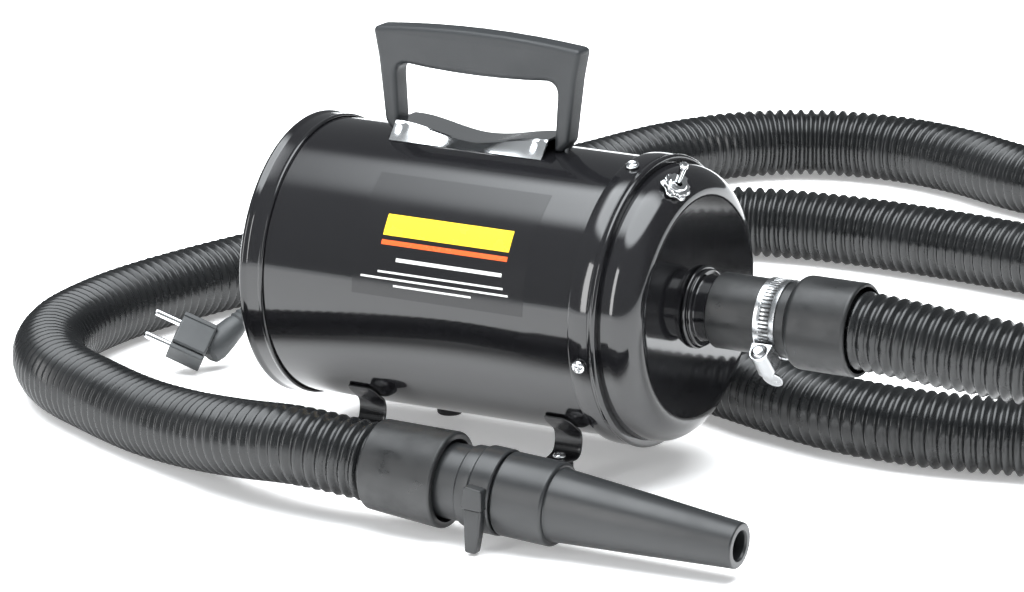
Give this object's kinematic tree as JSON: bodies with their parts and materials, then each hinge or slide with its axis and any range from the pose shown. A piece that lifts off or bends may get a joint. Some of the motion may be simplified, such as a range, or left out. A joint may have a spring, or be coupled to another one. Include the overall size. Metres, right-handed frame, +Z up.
{
  "type": "canister car dryer blower",
  "caption": "Canister blower with carrying handle, toggle switch, clamped outlet cuff, long corrugated hose with nozzle, strap feet and plugged mains cord.",
  "frame": {"origin": "on the floor under the can, midway between the back of the rear cap and the rim of the outlet cuff", "axes": "+X along the can towards the air outlet, +Z up, +Y away from the labelled side"},
  "size_m": [1.0972, 0.9883, 0.274],
  "materials": {
    "gloss_paint": "deep gloss black enamel on steel, clear sharp reflections",
    "strap_paint": "satin-gloss black paint on pressed steel",
    "chrome": "bright plated steel",
    "steel": "bright zinc-plated or stainless sheet",
    "rubber": "moulded black rubber, low sheen",
    "hose_plastic": "black extruded plastic, glossy ribs",
    "cord_pvc": "soft black PVC, satin",
    "nozzle_moulding": "black moulded plastic, satin, faint mould marks",
    "grip_plastic": "dark grey moulded plastic with a fine grain",
    "filter_foam": "open-cell foam",
    "aluminium": "die-cast, dull",
    "lamination": "stacked electrical steel, varnished",
    "copper": "copper segments",
    "carbon": "carbon brush"
  },
  "bodies": {
    "dryer": {"body_shell": "gloss_paint", "rear_cap": "gloss_paint", "intake_grille": "strap_paint", "intake_filter": "filter_foam", "front_ring": "gloss_paint", "ring_screw_1": "chrome", "ring_screw_2": "chrome", "ring_screw_3": "chrome", "ring_screw_4": "chrome", "front_dome": "gloss_paint", "switch_body": "aluminium", "switch_washer": "chrome", "switch_nut": "chrome", "mount_gasket": "rubber", "fan_case": "steel", "fan_diffuser": "aluminium", "motor_frame": "aluminium", "stator_core": "lamination", "brush_upper": "carbon", "brush_lower": "carbon", "motor_spider": "steel", "handle_grip": "grip_plastic", "handle_screw_rear": "chrome", "handle_screw_front": "chrome", "handle_bracket": "chrome", "foot_strap_rear_near": "strap_paint", "rubber_foot_rear_near": "rubber", "foot_screw_rear_near": "chrome", "foot_strap_rear_far": "strap_paint", "rubber_foot_rear_far": "rubber", "foot_screw_rear_far": "chrome", "foot_strap_front_near": "strap_paint", "rubber_foot_front_near": "rubber", "foot_screw_front_near": "chrome", "foot_strap_front_far": "strap_paint", "rubber_foot_front_far": "rubber", "foot_screw_front_far": "chrome", "outlet_spud": "gloss_paint", "outlet_cuff": "rubber", "clamp_band": "steel", "clamp_housing": "steel", "air_hose": "hose_plastic", "hand_cuff": "rubber", "nozzle_adapter": "nozzle_moulding", "cable_gland": "rubber", "mains_cord": "cord_pvc", "cord_coil": "cord_pvc", "plug_body": "cord_pvc", "plug_pins": "chrome", "plug_lead": "cord_pvc"},
    "lever": {"switch_lever": "chrome"},
    "rotor": {"motor_shaft": "steel", "armature_core": "lamination", "commutator": "copper", "impeller_first": "aluminium", "impeller_second": "aluminium"},
    "worm": {"clamp_screw": "steel"},
    "collar": {"lock_collar": "nozzle_moulding"},
    "tip": {"nozzle": "nozzle_moulding"}
  },
  "joints": [
    {"name": "switch_toggle", "type": "hinge", "parent": "dryer", "child": "lever", "pos_m": [0.08, -0.02365, 0.19646], "axis": [0, 0.9613, 0.2756], "range_deg": [0, 28]},
    {"name": "rotor_spin", "type": "hinge", "parent": "dryer", "child": "rotor", "pos_m": [0, 0, 0.114], "axis": [1, 0, 0], "continuous": true},
    {"name": "clamp_worm_turn", "type": "hinge", "parent": "dryer", "child": "worm", "pos_m": [0.1415, -0.02371, 0.09265], "axis": [0, 0.6691, -0.7431], "continuous": true},
    {"name": "collar_lock", "type": "hinge", "parent": "dryer", "child": "collar", "pos_m": [-0.0447, -0.1771, 0.0388], "axis": [-0.9978, -0.0181, 0.0636], "range_deg": [0, 30]},
    {"name": "nozzle_pull", "type": "slide", "parent": "dryer", "child": "tip", "axis": [0.9978, 0.0181, -0.0636], "range_m": [0, 0.04]}
  ]
}
